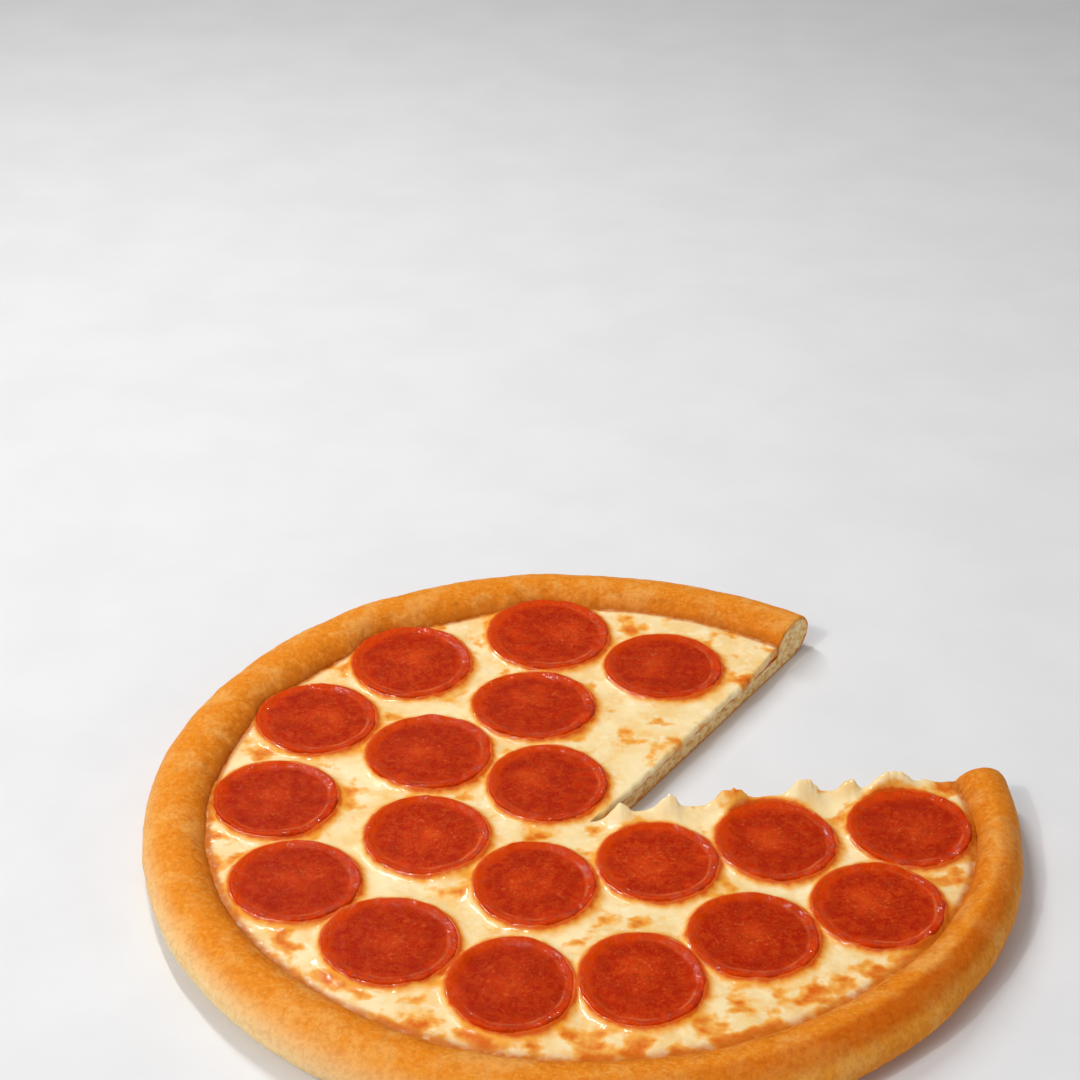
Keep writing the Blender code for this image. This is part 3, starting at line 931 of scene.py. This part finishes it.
def cheese():
    """The melted cheese: a finely divided top, a rounded edge and a flat underside."""
    outline, kind, away = layer_outline(RIM_OVERLAP, CHEESE_SPACING / 2)
    inner = even_points(outline.min(axis=0), outline.max(axis=0), CHEESE_SPACING)
    margin = CHEESE_SPACING / 2
    inner = inner[in_dough(inner, margin) & (from_rim(inner) > margin - RIM_OVERLAP)]
    xy = np.vstack([outline, inner])
    top = np.column_stack([xy, cheese_top(xy)]) + pulled(xy, 1.0)
    rows = cheese_edge(outline, kind, away)
    count = len(outline)
    starts = [0, *(len(xy) + row * count for row in range(len(rows)))]
    faces = filled(outline, inner) + joined_rows(starts, count)
    faces.append(tuple(starts[-1] + k for k in reversed(range(count))))
    made = piece("melted_cheese", np.vstack([top, *rows]), faces, cheese_look())
    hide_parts("cheese")
    swollen(made.data, relief(read_points(made.data), CHEESE_GRAIN))
    store_cheese(made)


def oil_round_slices(xy, uneven):
    """How much oil has run out of the slices, from 0 to 1, and how wet the cheese is on their near left."""
    oil, wet = np.zeros(len(xy)), np.zeros(len(xy))
    for x, y, half_x, half_y in SLICES:
        dx, dy = xy[:, 0] - x, xy[:, 1] - y
        gap = np.maximum(np.hypot(dx / half_x, dy / half_y) - 1, 0) * (half_x + half_y) / 2
        distance = np.maximum(np.hypot(dx, dy), 1e-6)
        right = np.clip((0.60 * dx - 0.80 * dy) / distance, 0, 1)
        left = np.clip((-0.70 * dx - 0.71 * dy) / distance, 0, 1)
        reach = uneven * (OIL_REACH + MORE_RIGHT * right - LESS_LEFT * left)
        oil = np.maximum(oil, np.exp(-gap / reach))
        wet = np.maximum(wet, left**2 * np.exp(-gap / WET_REACH))
    return oil, wet


def store_cheese(made):
    """Where oil has run out of the slices, where the oven browned the cheese, and its brown edge at the rim
    with painted contact shade.
    """
    xy = read_points(made.data)[:, :2]
    oil, wet = oil_round_slices(xy, 1 + 0.5 * noise(flattened(xy), 0.008, 4.0))
    store(made, "oil", oil)
    store(made, "wet", wet)
    bearing, to_rim = bearing_of(xy), np.maximum(from_rim(xy), 0)
    rim = np.exp(-((to_rim / BAKE_WIDTH) ** 2))
    store(made, "bake", BAKE_ALL_OVER + rim * (BAKE_AT_RIM + round_rim(bearing, BAKE_NEAR)))
    # Brown edge at the rim, partly painted contact shade, wider along the near rim.
    width = CREASE_WIDTH + round_rim(bearing, CREASE_NEAR)
    store(made, "browned_shaded_crease", CREASE * np.exp(-((to_rim / width) ** 2)))


# Sauce

# How far inside the rim the sauce ends, how deep it goes into dough and cheese, and how far it bulges out
SAUCE_MARGIN = 0.004
SAUCE_BOTTOM, SAUCE_TOP = BASE_THICKNESS - 0.0005, CHEESE_BOTTOM + 0.0006
SAUCE_LEAST, SAUCE_MORE = 0.0001, 0.0005


def sauce():
    """The thin line of sauce between dough and cheese, which shows at the cuts."""
    outline, kind, away = layer_outline(-SAUCE_MARGIN, SAUCE_SPACING)
    uneven = 0.5 + 0.5 * noise(flattened(outline), 0.006, 21.0)
    bulge = np.isin(kind, CUT_SIDES) * (SAUCE_LEAST + SAUCE_MORE * uneven)
    middle, half = (SAUCE_BOTTOM + SAUCE_TOP) / 2, (SAUCE_TOP - SAUCE_BOTTOM) / 2
    count = len(outline)
    rows = []
    for row in range(SAUCE_ROWS + 1):
        turn = radians(90 - 180 * row / SAUCE_ROWS)
        spot = outline + (bulge * cos(turn))[:, None] * away
        rows.append(np.column_stack([spot, np.full(count, middle + half * sin(turn))]))
    starts = [row * count for row in range(SAUCE_ROWS + 1)]
    faces = [tuple(range(count)), tuple(starts[-1] + k for k in reversed(range(count)))]
    piece("tomato_sauce", np.vstack(rows), faces + joined_rows(starts, count), sauce_look())


# Pepperoni

# A slice's section from its middle over the raised edge: share of the radius, share of the thickness
SLICE_PROFILE = (
    (0.00, 0.99), (0.30, 0.96), (0.55, 0.91), (0.70, 0.88), (0.80, 0.88), (0.85, 0.94), (0.89, 1.06),
    (0.925, 1.20), (0.95, 1.28), (0.968, 1.27), (0.985, 1.16), (0.996, 0.98), (1.00, 0.76),
    (0.998, 0.50), (0.985, 0.26), (0.955, 0.08),
)
SLICE_THICKNESS = 0.0016
SLICE_SINK = 0.0001
HEIGHT_SPACING = 0.08

# Random waves of the outline and of the raised edge: strength, orders, and how fast high orders fade
OUTLINE_WAVES = (0.0065, (2, 3, 4, 5, 7, 9), 0.5)
EDGE_WAVES = (0.06, (1, 2, 4, 6, 11, 17), 0.0)
EDGE_LOWEST, EDGE_HIGHEST = -0.45, 0.5

# Peaks and dents in some slices' outlines, as rows for round_rim(): share of the radius, bearing, half width
KINKS = {
    4: ((-0.020, 150, 12),),
    5: ((-0.035, 188, 8),),
    7: ((0.015, 215, 10),),
    11: ((-0.020, 60, 14),),
    14: ((0.050, 92, 9),),
    16: ((-0.040, 128, 8), (0.025, 112, 9)),
}

# Lumps of a slice and wrinkles of its edge, as rows for relief()
SLICE_LUMPS = ((0.00012, 0.006, 2, 31.0), (0.00005, 0.0022, 2, 5.0))
WRINKLES = ((0.00010, 0.0022, 2, 13.0),)

# Where a slice's wrinkles begin, how far its lighter middle is off centre, and the bearing of the side where
# light is painted on the edge
EDGE_BEGINS = (0.80, 0.92)
OFF_CENTRE = 0.14
LIT_SIDE = 140


def slice_rings():
    """Reach and height along a slice's section, from its middle, over the raised edge and under it."""
    table = np.array(SLICE_PROFILE)
    steps = np.diff(table, axis=0) * (1, HEIGHT_SPACING)
    length = np.concatenate([[0], np.cumsum(np.hypot(*steps.T))])
    wanted = np.linspace(0, length[-1], SLICE_RINGS)
    return np.interp(wanted, length, table[:, 0]), np.interp(wanted, length, table[:, 1])


def random_waves(draw, turns, strength, orders, fade):
    """Waves round a circle, each with a random strength and start."""
    return strength * sum(
        draw.normal() / order**fade * np.cos(order * turns + draw.uniform(0, 2 * pi)) for order in orders
    )


def slice_mesh(number, draw):
    """A slice's points and faces, and each point's share of the way from middle to edge."""
    x, y, half_x, half_y = SLICES[number - 1]
    reach, height = slice_rings()
    turns = np.linspace(0, 2 * pi, PEPPERONI_SIDES, endpoint=False)
    swell = random_waves(draw, turns, *OUTLINE_WAVES) + round_rim(np.degrees(turns), KINKS.get(number, ()))
    curl = np.clip(random_waves(draw, turns, *EDGE_WAVES), EDGE_LOWEST, EDGE_HIGHEST)
    share = reach[1:, None]
    width = share * (1 + swell * share**3)
    spots = np.dstack([x + half_x * width * np.cos(turns), y + half_y * width * np.sin(turns)]).reshape(-1, 2)
    lift = SLICE_THICKNESS * height[1:, None] * (1 + curl * ramp(share, 0.74, 0.92))
    level = cheese_level(spots) - SLICE_SINK + lift.ravel()
    under = cheese_level(np.array(((x, y),)))[0] - SLICE_SINK
    top = under + SLICE_THICKNESS * height[0]
    points = np.vstack([(x, y, top), np.column_stack([spots, level]), (x, y, under)])

    starts = [1 + ring * PEPPERONI_SIDES for ring in range(len(reach) - 1)]
    faces = joined_rows(starts, PEPPERONI_SIDES)
    for k in range(PEPPERONI_SIDES):
        after = (k + 1) % PEPPERONI_SIDES
        faces.append((0, 1 + k, 1 + after))
        faces.append((starts[-1] + k, len(points) - 1, starts[-1] + after))
    return points, faces, np.concatenate([[0], np.repeat(reach[1:], PEPPERONI_SIDES), [0]])


def pepperoni(number, look):
    """One slice of sausage: a shallow dish with a raised and slightly wavy edge."""
    draw = np.random.default_rng(100 + number)
    points, faces, reach = slice_mesh(number, draw)
    node = f"pepperoni_{number:02d}"
    made = piece(f"slice_{number:02d}", points, faces, look)
    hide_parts(node)
    places = read_points(made.data)
    edge = ramp(reach, *EDGE_BEGINS)
    swollen(made.data, relief(places, SLICE_LUMPS) + relief(places, WRINKLES) * edge)
    store(made, "edge", edge)

    x, y, half_x, half_y = SLICES[number - 1]
    dx, dy = places[:, 0] - x, places[:, 1] - y
    off_x, off_y = draw.normal(size=2) * OFF_CENTRE
    core = np.hypot(dx / half_x - off_x, dy / half_y - off_y)
    store(made, "reach", reach + (core - reach) * (1 - ramp(reach, 0.45, 0.80)))
    lit = 0.5 + 0.5 * np.cos(np.arctan2(dy, dx) - radians(LIT_SIDE))
    store(made, "greasy", plateau(reach, 0.80, 0.87, 0.95, 0.99) * (1 - 0.7 * lit))
    wander = reach + 0.022 * noise(places, 0.007, 3.0)
    # Painted light on the edge's lit side.
    store(made, "lit_band", 0.9 * plateau(wander, 0.78, 0.90, 0.97, 1.0) * lit)
    # Painted highlight inside the raised edge, away from the lit side.
    store(made, "line", 0.55 * plateau(wander, 0.815, 0.845, 0.855, 0.885) * (1 - lit))
    # A random darker tone inside, and painted shade on the outer edge away from the lit side.
    inner_tone = draw.uniform(0.0, 0.22) * (1 - ramp(wander, 0.84, 0.92))
    store(made, "tone_and_shade", inner_tone + 0.10 * ramp(wander, 0.95, 1.0) * (1 - lit))


crust()
cheese()
sauce()
sausage = pepperoni_look()
for slice_number in range(1, PEPPERONI_COUNT + 1):
    pepperoni(slice_number, sausage)


# Stage

FLOOR_REACH = 4.0
AIR_STRENGTH = 0.26

# The lamps: name, place, width, watts, and for the long one its length and the direction it runs in
LAMPS = (
    ("key", (-0.68, -0.74, 1.05), 0.50, 6.2),
    ("spark", (-0.72, -0.70, 1.02), 0.06, 4),
    ("back_spark", (-0.35, 0.53, 0.93), 0.040, 6, 0.60, (0.371, -0.576, 0.486)),
    ("fill", (1.00, -0.90, 0.36), 0.60, 2.1),
    ("ceiling", (0.0, 0.1, 1.9), 1.8, 3.5),
)


def floor():
    """A plain pale floor."""
    mesh = bpy.data.meshes.new("floor")
    corners = [(x * FLOOR_REACH, y * FLOOR_REACH, 0) for x, y in ((-1, -1), (1, -1), (1, 1), (-1, 1))]
    mesh.from_pydata(corners, [], [(0, 1, 2, 3)])
    look = Look("floor")
    mottle = look.between(look.noise(0.05, 3), 0.3, 0.7)
    colour = look.mixed(mottle, paint(226, 226, 227), paint(222, 222, 223))
    mesh.materials.append(look.finish(Base_Color=colour, Roughness=0.8))
    made = bpy.data.objects.new("floor", mesh)
    bpy.context.scene.collection.objects.link(made)


def lamp(name, place, size, watts, length=None, along=(1, 0, 0)):
    """A soft lamp that looks at the pizza: square, or as long as it says in that direction."""
    data = bpy.data.lights.new(name, "AREA")
    data.shape = "RECTANGLE"
    data.size = length or size
    data.size_y = size
    data.energy = watts
    made = bpy.data.objects.new(name, data)
    back = Vector(place).normalized()
    across = back.cross(Vector(along)).normalized()
    turned = Matrix((across.cross(back), across, back)).transposed().to_4x4()
    made.matrix_world = Matrix.Translation(place) @ turned
    bpy.context.scene.collection.objects.link(made)


def air():
    """Even pale light from all round."""
    world = bpy.data.worlds.new("air")
    world.use_nodes = True
    background = world.node_tree.nodes["Background"]
    background.inputs["Color"].default_value = (1.0, 1.0, 1.0, 1.0)
    background.inputs["Strength"].default_value = AIR_STRENGTH
    bpy.context.scene.world = world


# The camera, worked out from the photograph's outline of the pizza, in its 1080 pixel frame
FRAME_PIXELS = 1080
FOCAL_PIXELS = 2271.92
SENSOR = 0.036
CAMERA_DISTANCE = 0.7885
CAMERA_ELEVATION = radians(37.3185)
TARGET_HEIGHT = 0.012
YAW, PITCH, ROLL = -0.0213, 0.1150, 0.0260


def camera():
    """Looks at the pizza at the photograph's angle, turned so that it lies where the photograph has it."""
    low, high = cos(CAMERA_ELEVATION), sin(CAMERA_ELEVATION)
    ahead, right, up = Vector((0, low, -high)), Vector((1, 0, 0)), Vector((0, high, low))
    ahead, right = ahead * cos(YAW) + right * sin(YAW), right * cos(YAW) - ahead * sin(YAW)
    ahead, up = ahead * cos(PITCH) + up * sin(PITCH), up * cos(PITCH) - ahead * sin(PITCH)
    right, up = right * cos(ROLL) + up * sin(ROLL), up * cos(ROLL) - right * sin(ROLL)
    data = bpy.data.cameras.new("camera")
    data.sensor_width = SENSOR * 1000
    data.lens = data.sensor_width * FOCAL_PIXELS / FRAME_PIXELS
    made = bpy.data.objects.new("camera", data)
    turned = Matrix((right, up, -ahead)).transposed().to_4x4()
    spot = Vector((0, -CAMERA_DISTANCE * low, CAMERA_DISTANCE * high + TARGET_HEIGHT))
    made.matrix_world = Matrix.Translation(spot) @ turned
    bpy.context.scene.collection.objects.link(made)
    bpy.context.scene.camera = made


floor()
for row in LAMPS:
    lamp(*row)
air()
camera()
bpy.context.scene.view_settings.view_transform = "Standard"
